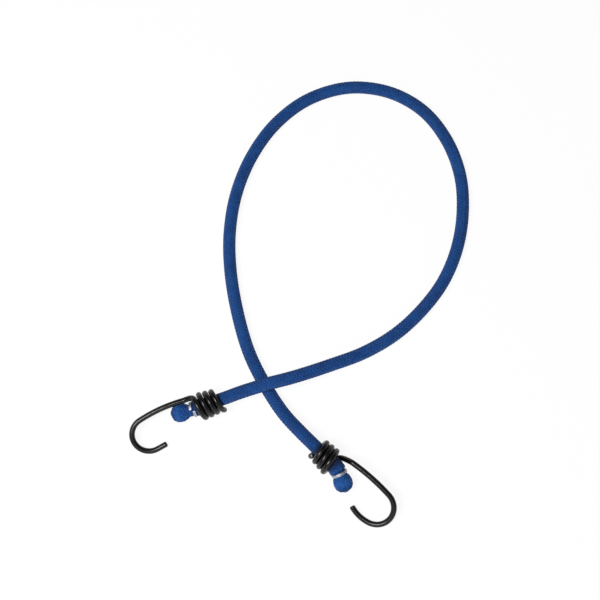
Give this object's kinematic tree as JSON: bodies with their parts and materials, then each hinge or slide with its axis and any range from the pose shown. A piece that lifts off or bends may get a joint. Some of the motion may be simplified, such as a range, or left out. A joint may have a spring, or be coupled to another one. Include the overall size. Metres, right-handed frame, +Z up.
{
  "type": "bungee cord",
  "caption": "Elastic cord with a blue braided sheath over rubber threads, lying in a crossed loop, with a black wire hook wound onto each end and a crimped clip that keeps it on.",
  "frame": {"origin": "on the surface that the cord lies on, at the middle of the box round the hooks and clips", "axes": "+Z up from that surface, +X along the longer side of the hooks' box from the left hook to the right one, +Y towards the far side of the loop"},
  "size_m": [0.2143, 0.294, 0.0182],
  "materials": {
    "blue_braid": "fine woven yarn with a slight sheen",
    "latex": "matt, chalked",
    "black_coated_wire": "glossy dipped coating",
    "clip_zinc": "zinc plated, bright"
  },
  "bodies": {
    "cord": {"sheath_loop": "blue_braid", "rubber_thread_01": "latex", "rubber_thread_02": "latex", "rubber_thread_03": "latex", "rubber_thread_04": "latex", "rubber_thread_05": "latex", "rubber_thread_06": "latex", "rubber_thread_07": "latex", "rubber_thread_08": "latex", "rubber_thread_09": "latex", "rubber_thread_10": "latex", "rubber_thread_11": "latex", "rubber_thread_12": "latex", "rubber_thread_13": "latex", "rubber_thread_14": "latex", "rubber_thread_15": "latex", "rubber_thread_16": "latex", "rubber_thread_17": "latex", "rubber_thread_18": "latex", "rubber_thread_19": "latex", "rubber_thread_20": "latex", "rubber_thread_21": "latex"},
    "lead_a": {"sheath_lead_a": "blue_braid"},
    "end_a": {"sheath_end_a": "blue_braid", "clip_a": "clip_zinc", "hook_a": "black_coated_wire"},
    "lead_b": {"sheath_lead_b": "blue_braid"},
    "end_b": {"sheath_end_b": "blue_braid", "clip_b": "clip_zinc", "hook_b": "black_coated_wire"}
  },
  "joints": [
    {"name": "stretch_a", "type": "slide", "parent": "cord", "child": "lead_a", "axis": [-0.9455, -0.3256, 0], "range_m": [0, 0.03], "stiffness_N_per_m": 2000, "deforming": ["rubber_thread_01", "rubber_thread_02", "rubber_thread_03", "rubber_thread_04", "rubber_thread_05", "rubber_thread_06", "rubber_thread_07", "rubber_thread_08", "rubber_thread_09", "rubber_thread_10", "rubber_thread_11", "rubber_thread_12", "rubber_thread_13", "rubber_thread_14", "rubber_thread_15", "rubber_thread_16", "rubber_thread_17", "rubber_thread_18", "rubber_thread_19", "rubber_thread_20", "rubber_thread_21"]},
    {"name": "twist_a", "type": "hinge", "parent": "lead_a", "child": "end_a", "pos_m": [-0.039, 0.03015, 0.00918], "axis": [-0.9449, -0.3253, -0.0366], "range_deg": [-180, 180], "stiffness_Nm_per_rad": 0.001},
    {"name": "stretch_b", "type": "slide", "parent": "cord", "child": "lead_b", "axis": [0.7157, -0.6984, 0], "range_m": [0, 0.03], "stiffness_N_per_m": 2000, "deforming": ["rubber_thread_01", "rubber_thread_02", "rubber_thread_03", "rubber_thread_04", "rubber_thread_05", "rubber_thread_06", "rubber_thread_07", "rubber_thread_08", "rubber_thread_09", "rubber_thread_10", "rubber_thread_11", "rubber_thread_12", "rubber_thread_13", "rubber_thread_14", "rubber_thread_15", "rubber_thread_16", "rubber_thread_17", "rubber_thread_18", "rubber_thread_19", "rubber_thread_20", "rubber_thread_21"]},
    {"name": "twist_b", "type": "hinge", "parent": "lead_b", "child": "end_b", "pos_m": [0.0436, -0.0047, 0.00918], "axis": [-0.7134, 0.6962, 0.0802], "range_deg": [-180, 180], "stiffness_Nm_per_rad": 0.001}
  ]
}
